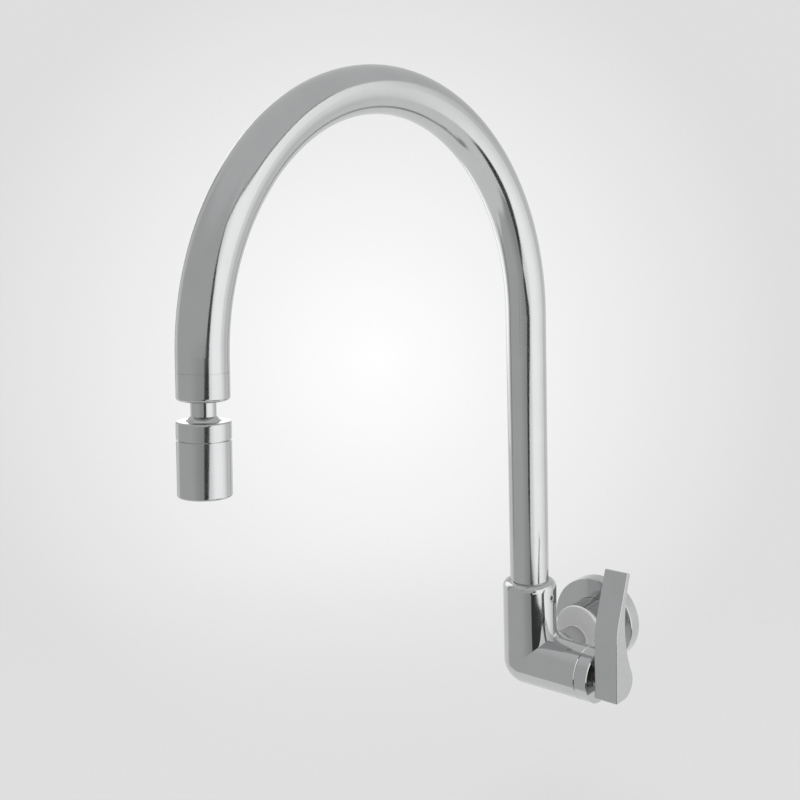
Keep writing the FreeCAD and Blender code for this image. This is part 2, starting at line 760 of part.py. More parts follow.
def cartridge_housing():
    """Brass valve body: skirt round the discs, pipe thread, collar and hexagon."""
    body = start_body("cartridge_housing", "arm")
    skirt = "(skirt_od / 2)"
    groove = "(pocket_od / 2 - spindle_cord - 2 * seat_gap)"
    collar = "(collar_od / 2)"
    collar_top = "(arm_length + collar_thick)"
    corners = [("0", SKIRT_START), (skirt, SKIRT_START)]
    corners += seal_groove("(pocket_end - spindle_cord)", groove, skirt, "spindle_cord")
    corners += [(skirt, "pocket_end + thread_edge"), (THREAD, "pocket_end + thread_edge"),
                (THREAD, "arm_length"), (collar, "arm_length"), (collar, collar_top),
                ("0", collar_top)]
    turn(body, "turned", corners)
    flats = sketch_on(body, "XY_Plane", "flats_outline", collar_top)
    hexagon(flats, "hex_flats")
    pad(body, "flats", flats, "hex_height")
    disc_bore = "(disc_od / 2 + 2 * seat_gap)"
    disc_end = "(" + DRIVER + " + driver_thick + 6 * seat_gap)"
    spindle_bore = "(spindle_od / 2 + spindle_fit)"
    turn(body, "bore", [("0", "0"), (disc_bore, "0"), (disc_bore, disc_end),
                        (spindle_bore, disc_end), (spindle_bore, HEX_END + " + 1"),
                        ("0", HEX_END + " + 1")], kind="Groove")
    window = sketch_on(body, "XZ_Plane", "window_outline", skirt)
    rectangle(window, "-window_width / 2", DISC_MOVES, "window_width / 2", DRIVER)
    cut(body, "windows", window, "skirt_od")
    return body


def housing_seal():
    return o_ring("housing_seal", "arm", "pocket_od / 2 - seat_gap - spindle_cord / 2",
                  "spindle_cord", "pocket_end - spindle_cord")


def spindle():
    """Turns the moving disc: driver, two ring grooves, clip groove and splined end."""
    body = start_body("spindle", "arm")
    top = "(" + DRIVER + " + driver_thick)"
    driver = "(disc_od / 2 - 2 * seat_gap)"
    floor = "(spindle_od / 2 + spindle_fit - spindle_cord - seat_gap)"
    clip_low = "(" + HEX_END + " + seat_gap)"
    clip_high = "(" + HEX_END + " + clip_thick + 3 * seat_gap)"
    corners = [("0", DRIVER), (driver, DRIVER), (driver, top), (SPINDLE, top)]
    corners += seal_groove("spindle_seal", floor, SPINDLE, "spindle_cord")
    corners += seal_groove("(spindle_seal + spindle_pitch)", floor, SPINDLE, "spindle_cord")
    corners += [(SPINDLE, clip_low), ("spline_od / 2", clip_low),
                ("spline_od / 2", clip_high), (SPINDLE, clip_high),
                (SPINDLE, RING_END), ("spline_od / 2", RING_END),
                ("spline_od / 2", SPLINE_END), ("0", SPLINE_END)]
    turn(body, "turned", corners)
    key = sketch_on(body, "XY_Plane", "key_outline", DRIVER)
    rectangle(key, "seat_gap - disc_slot / 2", "0.8 - disc_od / 2",
              "disc_slot / 2 - seat_gap", "disc_od / 2 - 0.8")
    pad(body, "key", key, "slot_depth - seat_gap", backwards=True)
    doc.recompute()
    notch = sketch_on(body, "XY_Plane", "spline_outline", SPLINE_END)
    rectangle(notch, "spline_od / 2 - spline_depth", "-spline_depth / 2",
              "spline_od / 2 + 1", "spline_depth / 2")
    item = cut(body, "spline", notch, SPLINE_END + " - " + LEVER_START)
    round_pattern(body, "splines", item, "splines")
    return body


def spindle_seals():
    radius = "spindle_od / 2 + spindle_fit - seal_fit - spindle_cord / 2"
    o_ring("spindle_seal_inner", "arm", radius, "spindle_cord", "spindle_seal")
    o_ring("spindle_seal_outer", "arm", radius, "spindle_cord",
           "spindle_seal + spindle_pitch")


def spindle_clip():
    """Open clip in the spindle's groove, outside the hexagon."""
    body = start_body("spindle_clip", "arm")
    low = "(" + HEX_END + " + 2 * seat_gap)"
    inner = "(spline_od / 2 + seat_gap)"
    turn(body, "turned", [(inner, low), ("clip_od / 2", low),
                          ("clip_od / 2", low + " + clip_thick"),
                          (inner, low + " + clip_thick")])
    mouth = sketch_on(body, "XY_Plane", "mouth_outline", low)
    rectangle(mouth, "-clip_od", "-spline_od / 3", "0", "spline_od / 3")
    cut(body, "mouth", mouth, "2 * clip_thick", backwards=True)
    return body


def bonnet_ring():
    """Plated ring at the arm's end that covers the valve's collar and hexagon."""
    bore = "(collar_od / 2 + seat_gap)"
    lip = "(" + RING_END + " - ring_lip)"
    edge = "(body_od / 2 - ring_edge)"
    return turned("bonnet_ring", "arm",
                  [(bore, "arm_length"), (edge, "arm_length"),
                   (BODY, "arm_length + ring_edge"), (BODY, RING_END + " - ring_edge"),
                   (edge, RING_END), ("ring_hole / 2", RING_END), ("ring_hole / 2", lip),
                   (bore, lip)])


# ----------------------------------------------------------------------------------- lever

def apart(first, reach, second, other):
    """The point this far from the first and that far from the second, right of both."""
    way = second - first
    along = (reach ** 2 - other ** 2 + way.Length ** 2) / (2 * way.Length)
    aside = math.sqrt(reach ** 2 - along ** 2)
    way.normalize()
    return first + way * along + FreeCAD.Vector(way.y, -way.x, 0) * aside


def lever():
    """Blade of even width: flat front, round heel about the spindle, leaning tip."""
    body = start_body("lever", "elbow")
    sketch = sketch_on(body, "YZ_Plane", "profile", LEVER_START)
    front, straight = number("-lever_front"), number("lever_straight")
    bottom = number("heel_rise - heel_radius")
    bend, back, heel = number("front_bend"), number("back_bend"), number("heel_radius")
    tip = FreeCAD.Vector(number("lever_tip"), number("lever_top"), 0)
    tail = FreeCAD.Vector(number("lever_tip + lever_tip_thick"),
                          number("lever_top - lever_tip_drop"), 0)
    heel_middle = FreeCAD.Vector(number("-heel_offset"), number("heel_rise"), 0)
    bend_middle = FreeCAD.Vector(front + bend, straight, 0)
    back_middle = apart(heel_middle, back + heel, tail, back)
    up = FreeCAD.Vector(0, 0, 1)
    sight = tip - bend_middle
    lean = math.atan2(sight.y, sight.x) + math.acos(bend / sight.Length)
    leaves = bend_middle + FreeCAD.Vector(math.cos(lean), math.sin(lean), 0) * bend
    joins = math.atan2(heel_middle.y - back_middle.y, heel_middle.x - back_middle.x)
    reaches = math.atan2(tail.y - back_middle.y, tail.x - back_middle.x)
    corner = FreeCAD.Vector(front, bottom, 0)
    knee = FreeCAD.Vector(front, straight, 0)
    under = FreeCAD.Vector(heel_middle.x, bottom, 0)
    for shape in (Part.LineSegment(corner, knee),
                  Part.ArcOfCircle(Part.Circle(bend_middle, up, bend), lean, math.pi),
                  Part.LineSegment(leaves, tip),
                  Part.LineSegment(tip, tail),
                  Part.ArcOfCircle(Part.Circle(back_middle, up, back), reaches,
                                   joins + 2 * math.pi),
                  Part.ArcOfCircle(Part.Circle(heel_middle, up, heel), -math.pi / 2,
                                   joins + math.pi),
                  Part.LineSegment(under, corner)):
        sketch.addGeometry(shape, False)
    for rule in (("Coincident", 0, 2, 1, 2), ("Tangent", 1, 1, 2, 1),
                 ("Coincident", 2, 2, 3, 1), ("Coincident", 3, 2, 4, 1),
                 ("Tangent", 4, 2, 5, 2), ("Coincident", 5, 1, 6, 1),
                 ("Coincident", 6, 2, 0, 1)):
        sketch.addConstraint(Sketcher.Constraint(*rule))
    hold(sketch, 0, 1, "-lever_front", "heel_rise - heel_radius")
    hold(sketch, 0, 2, "-lever_front", "lever_straight")
    hold(sketch, 1, 3, "front_bend - lever_front", "lever_straight")
    hold(sketch, 3, 1, "lever_tip", "lever_top")
    hold(sketch, 3, 2, "lever_tip + lever_tip_thick", "lever_top - lever_tip_drop")
    hold(sketch, 5, 3, "-heel_offset", "heel_rise")
    hold(sketch, 5, 1, "-heel_offset", "heel_rise - heel_radius")
    row = sketch.addConstraint(Sketcher.Constraint("Radius", 4, back))
    bind(sketch, "Constraints[%d]" % row, "back_bend")
    pad(body, "blade", sketch, "lever_width")
    doc.recompute()
    dress(body, "Fillet", "corners",
          lambda p, edge: min(math.hypot(p.y - spot.x, p.z - spot.y)
                              for spot in (corner, tip, tail)) < 0.01, "lever_corner")
    near, far = number(LEVER_START), number(LEVER_START + " + lever_width")
    dress(body, "Fillet", "edges",
          lambda p, edge: min(abs(p.x - near), abs(p.x - far)) < 0.01, "lever_edge")
    hub = sketch_on(body, "YZ_Plane", "hub_outline", LEVER_START)
    circle(hub, "insert_od / 2 + seat_gap")
    cut(body, "hub", hub, "insert_length + 6 * seat_gap", backwards=True)
    hole = sketch_on(body, "XY_Plane", "screw_outline")
    circle(hole, "screw_od / 2", LEVER_START + " + insert_length / 2", "0")
    cut(body, "screw_hole", hole, "heel_radius + 1")
    return body


def lever_insert():
    """Sleeve in the lever's hub, toothed inside to match the spindle."""
    body = start_body("lever_insert", "arm")
    start = "(" + LEVER_START + " + 3 * seat_gap)"
    bore = "(spline_od / 2 + seat_gap)"
    turn(body, "turned", [(bore, start), ("insert_od / 2", start),
                          ("insert_od / 2", start + " + insert_length"),
                          (bore, start + " + insert_length")])
    tooth = sketch_on(body, "XY_Plane", "tooth_outline", start)
    rectangle(tooth, "spline_od / 2 - spline_depth + seat_gap", "seat_gap - spline_depth / 2",
              bore + " + spline_depth", "spline_depth / 2 - seat_gap")
    item = pad(body, "tooth", tooth, SPLINE_END + " - " + start)
    doc.recompute()
    round_pattern(body, "teeth", item, "splines")
    return body


def lever_screw():
    """Set screw up through the lever's heel onto the insert."""
    body = start_body("lever_screw", "lever_screw")
    start = "(insert_od / 2 + seat_gap)"
    end = "(insert_od / 2 + seat_gap + screw_length)"
    thread = "(screw_od / 2 - seat_gap)"
    turn(body, "turned", [("0", start), (thread, start), (thread, end), ("0", end)])
    key = sketch_on(body, "XY_Plane", "key_outline", end)
    hexagon(key, "screw_key")
    cut(body, "key", key, "0.8 * screw_key")
    return body


# ---------------------------------------------------------------------------------- outlet

def outlet_ferrule():
    """Turned end piece of the tube, with a spigot inside it and a round lower rim."""
    spigot = "(tube_od / 2 - tube_wall - seat_gap)"
    thread = "(stem_thread / 2 + seat_gap)"
    return turned("outlet_ferrule", "outlet",
                  [("foot_bore / 2", "spigot_length / 2"), ("foot_bore / 2", "-ferrule_floor"),
                   (thread, "-ferrule_floor"), (thread, "-ferrule_length"),
                   (TUBE + " - ferrule_edge", "-ferrule_length"),
                   (TUBE, "ferrule_edge - ferrule_length"), (TUBE, "-seat_gap"),
                   (spigot, "-seat_gap"), (spigot, "spigot_length / 2")],
                  {4: (TUBE + " - ferrule_edge", "ferrule_edge - ferrule_length", True, "up")})


def stem_washer():
    return washer("stem_washer", "outlet", "stem_bore / 2", "stem_thread / 2",
                  "-ferrule_floor - washer_thick", "-ferrule_floor")


def ball_stem():
    """Hollow stem: threaded head, slim neck and the ball that the aerator swings on."""
    head = "(ball_drop - ferrule_floor - washer_thick - seat_gap)"
    face = "(ball_drop - ferrule_length + stem_recess)"
    return turned("ball_stem", "ball",
                  [("stem_bore / 2", head), ("stem_thread / 2", head),
                   ("stem_thread / 2", face), ("neck_width / 2", face),
                   ("neck_width / 2", "sqrt((ball_od / 2) ^ 2 - (neck_width / 2) ^ 2)"),
                   ("stem_bore / 2", "-sqrt((ball_od / 2) ^ 2 - (stem_bore / 2) ^ 2)")],
                  {4: ("0", "0", False)})


def on_sphere(radius, angle):
    """The point of a sphere about the ball's middle, at this angle from straight up."""
    return (radius + " * sin(" + angle + " * 1deg)", radius + " * cos(" + angle + " * 1deg)")


def ball_liner():
    """Slippery cup under the ball, between it and the nut."""
    outer = "(ball_od / 2 + ball_gap + liner_wall)"
    return turned("ball_liner", "ball",
                  [on_sphere(BALL_SEAT, "liner_top"), on_sphere(outer, "liner_top"),
                   on_sphere(outer, "liner_bottom"), on_sphere(BALL_SEAT, "liner_bottom")],
                  {1: ("0", "0", False), 3: ("0", "0", True, "up")})


def aerator_nut():
    """Nut whose lip holds the ball; the shell screws onto its skirt."""
    bore = "(nut_bore / 2)"
    return turned("aerator_nut", "ball",
                  [("sqrt(" + BALL_SEAT + " ^ 2 - collar_above ^ 2)", "collar_above"),
                   (NUT + " - nut_edge", "collar_above"),
                   (NUT, "collar_above - nut_edge"), (NUT, "-collar_below"),
                   (NUT_THREAD, "-collar_below"), (NUT_THREAD, "-nut_skirt"),
                   (bore, "-nut_skirt"),
                   (bore, "-sqrt(" + CAVITY + " ^ 2 - " + bore + " ^ 2)"),
                   on_sphere(CAVITY, "lip_angle"), on_sphere(BALL_SEAT, "lip_angle")],
                  {1: (NUT + " - nut_edge", "collar_above - nut_edge", False, "up"),
                   7: ("0", "0", True), 9: ("0", "0", True, "up")})


def aerator_shell():
    """Plain sleeve with a rounded foot and an inner lip that carries the inserts."""
    thread = "(tube_od / 2 - nut_wall + seat_gap)"
    top = "(-collar_below - joint_line)"
    lip = "(shell_lip - shell_bottom)"
    return turned("aerator_shell", "ball",
                  [(thread, top), (thread, "-shell_shoulder"), (SHELL_BORE, "-shell_shoulder"),
                   (SHELL_BORE, lip), ("outlet_od / 2", lip),
                   ("outlet_od / 2", "-shell_bottom"),
                   (NUT + " - shell_edge", "-shell_bottom"),
                   (NUT, "shell_edge - shell_bottom"), (NUT, top)],
                  {6: (NUT + " - shell_edge", "shell_edge - shell_bottom", True, "up")})


def aerator_gasket():
    bottom = "(seat_gap - shell_shoulder)"
    return washer("aerator_gasket", "ball", "foot_bore / 2",
                  "tube_od / 2 - nut_wall - seat_gap", bottom,
                  bottom + " + aerator_gasket_thick")


REGULATOR_TOP = "(-shell_shoulder - seat_gap)"
STRAIGHTENER_TOP = "(-shell_shoulder - 2 * seat_gap - regulator_thick)"
SCREEN_TOP = "(-shell_shoulder - 3 * seat_gap - regulator_thick - straightener_length)"
INSERT = "(shell_bore / 2 - seat_gap)"


def plate(body, top, thick):
    """A round plate that fits the aerator's shell."""
    low = "(" + top + " - " + thick + ")"
    turn(body, "turned", [("0", low), (INSERT, low), (INSERT, top), ("0", top)])


def ring_of_holes(body, name, top, depth, hole, pitch, count):
    sketch = sketch_on(body, "XY_Plane", name + "_outline", top)
    circle(sketch, hole + " / 2", pitch, "0")
    item = cut(body, name + "_drilled", sketch, depth)
    round_pattern(body, name, item, count)


def flow_regulator():
    body = start_body("flow_regulator", "ball")
    plate(body, REGULATOR_TOP, "regulator_thick")
    ring_of_holes(body, "holes", REGULATOR_TOP, "regulator_thick + 1", "regulator_hole",
                  "0.6 * shell_bore / 2", "regulator_holes")
    return body


def flow_straightener():
    """Ring with thin ribs that meet in the middle."""
    body = start_body("flow_straightener", "ball")
    low = "(" + STRAIGHTENER_TOP + " - straightener_length)"
    inner = "(shell_bore / 2 - seat_gap - straightener_wall)"
    turn(body, "turned", [(inner, low), (INSERT, low), (INSERT, STRAIGHTENER_TOP),
                          (inner, STRAIGHTENER_TOP)])
    hub = sketch_on(body, "XY_Plane", "hub_outline", low)
    circle(hub, "1.5 * rib_thick")
    rib = sketch_on(body, "XY_Plane", "rib_outline", low)
    rectangle(rib, "0.5 * rib_thick", "-rib_thick / 2",
              inner + " + straightener_wall / 2", "rib_thick / 2")
    item = pad(body, "rib", rib, "straightener_length")
    doc.recompute()
    round_pattern(body, "ribs", item, "ribs")
    pad(body, "hub", hub, "straightener_length")
    doc.recompute()
    return body


def screen(label, top):
    """Fine drilled screen: one hole in the middle and three rings of holes."""
    body = start_body(label, "ball")
    plate(body, top, "screen_thick")
    middle = sketch_on(body, "XY_Plane", "middle_outline", top)
    circle(middle, "screen_hole / 2")
    cut(body, "middle", middle, "2 * screen_thick")
    for share, count in (("0.26", "screen_inner"), ("0.52", "screen_middle"),
                         ("0.78", "screen_outer")):
        ring_of_holes(body, count, top, "2 * screen_thick", "screen_hole",
                      share + " * outlet_od / 2", count)
    return body


# ---------------------------------------------------------------------------------- output

def build():
    body_casting()
    inlet_nipple()
    inlet_gasket()
    inlet_sieve()
    wall_flange()
    flange_grip()
    spout_foot()
    foot_seals()
    spout_tube()
    thrust_washer()
    wiper_ring()
    grub_screw()
    seat_seal()
    valve_disc("fixed_disc", DISC_START, slotted=False)
    valve_disc("moving_disc", DISC_MOVES, slotted=True)
    cartridge_housing()
    housing_seal()
    spindle()
    spindle_seals()
    spindle_clip()
    bonnet_ring()
    lever()
    lever_insert()
    lever_screw()
    outlet_ferrule()
    stem_washer()
    ball_stem()
    ball_liner()
    aerator_nut()
    aerator_shell()
    aerator_gasket()
    flow_regulator()
    flow_straightener()
    screen("screen_upper", SCREEN_TOP)
    screen("screen_lower", SCREEN_TOP + " - screen_thick - screen_gap")
    doc.recompute()


def sub_parts():
    return [item for item in doc.Objects
            if item.TypeId in ("PartDesign::Body", "Part::Torus")]


def check():
    """Stop before anything is written if a feature failed or a shape isn't sound."""
    for item in doc.Objects:
        if "Invalid" in item.State or "Error" in item.State:
            raise RuntimeError(item.Name + " failed: " + ", ".join(item.State))
    for item in sub_parts():
        if item.Shape.isNull() or not item.Shape.isValid() or not item.Shape.Solids:
            raise RuntimeError(item.Label + " has no sound shape")


def write():
    os.makedirs("parts", exist_ok=True)
    for item in sub_parts():
        item.Shape.exportStep("parts/" + item.Label + ".step")


build()
check()
write()
print(len(sub_parts()), "sub-parts written")
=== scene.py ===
import math

import bpy
from mathutils import Matrix, Vector

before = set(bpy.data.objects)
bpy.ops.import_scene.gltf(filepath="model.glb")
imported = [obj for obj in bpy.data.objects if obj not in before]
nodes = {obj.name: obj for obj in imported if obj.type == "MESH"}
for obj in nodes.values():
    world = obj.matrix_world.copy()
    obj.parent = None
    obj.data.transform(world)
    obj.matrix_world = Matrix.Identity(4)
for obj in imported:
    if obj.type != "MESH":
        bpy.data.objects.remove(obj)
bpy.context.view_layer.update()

scene = bpy.context.scene


# ------------------------------------------------------------------ camera

def make_camera():
    """The photograph's view: place, aim and lens worked out from its edges."""
    right = Vector((0.76263649, 0.64597688, -0.03315812))
    up = Vector((-0.09034085, 0.15713584, 0.98343625))
    back = Vector((0.64048741, -0.74700883, 0.17819563))
    data = bpy.data.cameras.new("camera")
    data.sensor_width = 36
    data.lens = 52.1046
    data.clip_start = 0.01
    data.clip_end = 50
    camera = bpy.data.objects.new("camera", data)
    turn = Matrix((right, up, back)).transposed().to_4x4()
    camera.matrix_world = Matrix.Translation((0.349068, -0.589064, 0.261135)) @ turn
    scene.collection.objects.link(camera)
    scene.camera = camera


# --------------------------------------------------------------- materials

def new_material(name):
    material = bpy.data.materials.new(name)
    material.use_nodes = True
    tree = material.node_tree
    tree.nodes.clear()
    out = tree.nodes.new("ShaderNodeOutputMaterial")
    shader = tree.nodes.new("ShaderNodeBsdfPrincipled")
    tree.links.new(shader.outputs[0], out.inputs["Surface"])
    return material, tree, shader


def noise(tree, scale, detail=2.0, stretch=None):
    """Noise over the object's own metres."""
    place = tree.nodes.new("ShaderNodeTexCoord")
    source = place.outputs["Object"]
    if stretch:
        mapping = tree.nodes.new("ShaderNodeMapping")
        mapping.inputs["Scale"].default_value = stretch
        tree.links.new(source, mapping.inputs["Vector"])
        source = mapping.outputs["Vector"]
    texture = tree.nodes.new("ShaderNodeTexNoise")
    texture.inputs["Scale"].default_value = scale
    texture.inputs["Detail"].default_value = detail
    tree.links.new(source, texture.inputs["Vector"])
    return texture.outputs["Fac"]


def spread(tree, value, low, high, start=0.3, end=0.7):
    """Map a value onto a range."""
    node = tree.nodes.new("ShaderNodeMapRange")
    node.inputs["From Min"].default_value = start
    node.inputs["From Max"].default_value = end
    node.inputs["To Min"].default_value = low
    node.inputs["To Max"].default_value = high
    tree.links.new(value, node.inputs["Value"])
    return node.outputs["Result"]


def math_node(tree, operation, *values):
    """A math node on sockets or plain numbers."""
    node = tree.nodes.new("ShaderNodeMath")
    node.operation = operation
    for socket, value in zip(node.inputs, values):
        if isinstance(value, (int, float)):
            socket.default_value = value
        else:
            tree.links.new(value, socket)
    return node.outputs[0]


def smooth(tree, value, start, end, low, high):
    """Map a value with soft ends; each limit is a number or a socket."""
    node = tree.nodes.new("ShaderNodeMapRange")
    node.interpolation_type = "SMOOTHSTEP"
    limits = {"From Min": start, "From Max": end, "To Min": low, "To Max": high}
    for name, number in limits.items():
        socket = node.inputs[name]
        if isinstance(number, (int, float)):
            socket.default_value = number
        else:
            tree.links.new(number, socket)
    tree.links.new(value, node.inputs["Value"])
    return node.outputs["Result"]


def mix_value(tree, factor, low, high):
    """low where factor is 0, high where it is 1."""
    return smooth(tree, factor, 0.0, 1.0, low, high)


def bump(tree, shader, height, strength, distance):
    """Fine relief in the shading alone."""
    node = tree.nodes.new("ShaderNodeBump")
    node.inputs["Strength"].default_value = strength
    node.inputs["Distance"].default_value = distance
    tree.links.new(height, node.inputs["Height"])
    tree.links.new(node.outputs["Normal"], shader.inputs["Normal"])


def colours(tree, shader, value, dark, light):
    """Let the base colour wander between two near ones."""
    ramp = tree.nodes.new("ShaderNodeValToRGB")
    ramp.color_ramp.elements[0].position = 0.3
    ramp.color_ramp.elements[0].color = (*dark, 1)
    ramp.color_ramp.elements[1].position = 0.7
    ramp.color_ramp.elements[1].color = (*light, 1)
    tree.links.new(value, ramp.inputs["Fac"])
    tree.links.new(ramp.outputs["Color"], shader.inputs["Base Color"])


def surface(name, dark, light, rough, metal=0.0, grain=400, relief=0.1, depth=0.00003,
            stretch=None):
    """A plain material: colour and roughness wander a little, over a fine relief."""
    material, tree, shader = new_material(name)
    shader.inputs["Metallic"].default_value = metal
    colours(tree, shader, noise(tree, 70, 4), dark, light)
    tree.links.new(spread(tree, noise(tree, 110, 3), *rough), shader.inputs["Roughness"])
    bump(tree, shader, noise(tree, grain, 3, stretch), relief, depth)
    return material


def paint_boss_reflection(material, middle, half, neck, face):
    """Make the zone between two of the object's own y matte and non-metal, with painted grey in
    place of chrome: painted shade on the neck, and a paler painted reflection at its far end, on
    the boss face.
    """
    tree = material.node_tree
    shader = next(node for node in tree.nodes if node.type == "BSDF_PRINCIPLED")
    place = tree.nodes.new("ShaderNodeTexCoord")
    split = tree.nodes.new("ShaderNodeSeparateXYZ")
    tree.links.new(place.outputs["Object"], split.inputs[0])
    zone = math_node(tree, "COMPARE", split.outputs["Y"], middle, half)
    # matte, non-metal values, so that the painted grey shows as it is
    for name, matte_value in (("Metallic", 0.0), ("Roughness", 0.6)):
        socket = shader.inputs[name]
        was = socket.links[0].from_socket if socket.links else socket.default_value
        tree.links.new(mix_value(tree, zone, was, matte_value), socket)
    # painted shade on the neck, rising to a painted reflection on the boss face
    painted_grey = smooth(tree, split.outputs["Y"], middle + 0.6 * half, middle + 0.8 * half, neck, face)
    colour = shader.inputs["Base Color"]
    mix = tree.nodes.new("ShaderNodeMix")
    mix.data_type = "RGBA"
    tree.links.new(zone, mix.inputs["Factor"])
    tree.links.new(colour.links[0].from_socket, mix.inputs["A"])
    tree.links.new(painted_grey, mix.inputs["B"])
    tree.links.new(mix.outputs["Result"], colour)


CHROME_DARK = (0.535, 0.542, 0.545)
CHROME_LIGHT = (0.555, 0.562, 0.565)

PAINTED_FACE_MIDDLE = -0.0328      # y of the boss's front and of the neck before it, where painted reflection and painted shade stand in for chrome
PAINTED_FACE_HALF = 0.0073
# painted shade for the neck and painted reflection for the boss face, as plain greys
NECK_PAINTED_SHADE = 0.36
FACE_PAINTED_REFLECTION = 0.88

MATERIALS = {
    "chrome": surface("chrome_plate", CHROME_DARK, CHROME_LIGHT, (0.10, 0.14), metal=1.0,
                      grain=45, relief=0.03, depth=0.0003),
    "casting": surface("casting_chrome", CHROME_DARK, CHROME_LIGHT, (0.05, 0.09), metal=1.0,
                       grain=60, relief=0.06, depth=0.0003),
    "blade": surface("blade_chrome", CHROME_DARK, CHROME_LIGHT, (0.22, 0.30), metal=1.0,
                     grain=45, relief=0.03, depth=0.0003),
    "nickel": surface("nickel_plate", (0.52, 0.51, 0.48), (0.60, 0.59, 0.55), (0.20, 0.32),
                      metal=1.0, grain=900, relief=0.2),
    "brass": surface("turned_brass", (0.70, 0.50, 0.24), (0.80, 0.62, 0.33), (0.20, 0.34),
                     metal=1.0, grain=900, relief=0.25),
    "steel": surface("stainless_steel", (0.54, 0.55, 0.56), (0.64, 0.65, 0.66), (0.22, 0.36),
                     metal=1.0, grain=1200, relief=0.2),
    "rubber": surface("black_rubber", (0.022, 0.022, 0.023), (0.036, 0.036, 0.038),
                      (0.55, 0.75), grain=1500, relief=0.3),
    "fibre": surface("red_fibre", (0.34, 0.09, 0.06), (0.48, 0.14, 0.10), (0.6, 0.8),
                     grain=1800, relief=0.4),
    "ceramic": surface("lapped_ceramic", (0.90, 0.89, 0.85), (0.94, 0.93, 0.90), (0.12, 0.22),
                       grain=2000, relief=0.08),
    "acetal": surface("white_acetal", (0.84, 0.84, 0.82), (0.90, 0.90, 0.88), (0.30, 0.42),
                      grain=1200, relief=0.15),
}

# painted reflection on the boss face and painted shade on its neck, in place of chrome
paint_boss_reflection(MATERIALS["casting"], PAINTED_FACE_MIDDLE, PAINTED_FACE_HALF, NECK_PAINTED_SHADE, FACE_PAINTED_REFLECTION)

SLOT_NODES = {
    "casting": "body_casting",
    "blade": "lever",
    "chrome": "spout_tube wall_flange bonnet_ring outlet_ferrule "
              "aerator_nut aerator_shell ball_stem",
    "brass": "inlet_nipple spout_foot",
    "nickel": "cartridge_housing spindle lever_insert",
    "steel": "inlet_sieve grub_screw lever_screw spindle_clip screen_upper screen_lower",
    "rubber": "flange_grip foot_seal_lower foot_seal_upper seat_seal housing_seal "
              "spindle_seal_inner spindle_seal_outer stem_washer aerator_gasket",
    "fibre": "inlet_gasket",
    "ceramic": "fixed_disc moving_disc",
    "acetal": "thrust_washer wiper_ring ball_liner flow_regulator flow_straightener",
}

for slot, names in SLOT_NODES.items():
    for name in names.split():
        data = nodes[name].data
        data.materials.clear()
        data.materials.append(MATERIALS[slot])


# ------------------------------------------------------------------- stage

FLOOR_Z = -0.15             # the faucet hangs above a plain floor, on no wall
FLOOR_REACH = 0.8           # where the floor has faded into the backdrop
MIDDLE_Y = -0.15            # the faucet's middle, over which floor and lamp are set

DOME = 0.66                 # light of the studio overhead
BACK = 0.87                 # behind the faucet and under it
FRONT = 0.56                # round the camera
FRONT_LOW = 0.40            # the same, low on the right
BACKDROP_MIDDLE = 1.0       # the backdrop in the picture's middle and far from it
BACKDROP_EDGE = 0.73
BACKDROP_AIM = (-0.65965, 0.73809, -0.14168)
BACKDROP_SPREAD = 0.356     # radians from its middle to its edge

RIGHT_X = 0.60              # the panels' distances to the side
LEFT_X = -0.34
BLACK = 0.05                # light of the gaps along the panels
GREY = 0.25

LAMP_HEIGHT = 1.2
LAMP_SIZE = 1.6
LAMP_WATTS = 4.6


def shader_tree(owner, out_kind):
    owner.use_nodes = True
    tree = owner.node_tree
    tree.nodes.clear()
    return tree, tree.nodes.new(out_kind)


def vector_node(tree, operation, first, second=None):
    node = tree.nodes.new("ShaderNodeVectorMath")
    node.operation = operation
    for socket, value in zip(node.inputs, (first, second)):
        if isinstance(value, tuple):
            socket.default_value = value
        elif value is not None:
            tree.links.new(value, socket)
    return node.outputs["Value" if operation == "DOT_PRODUCT" else "Vector"]


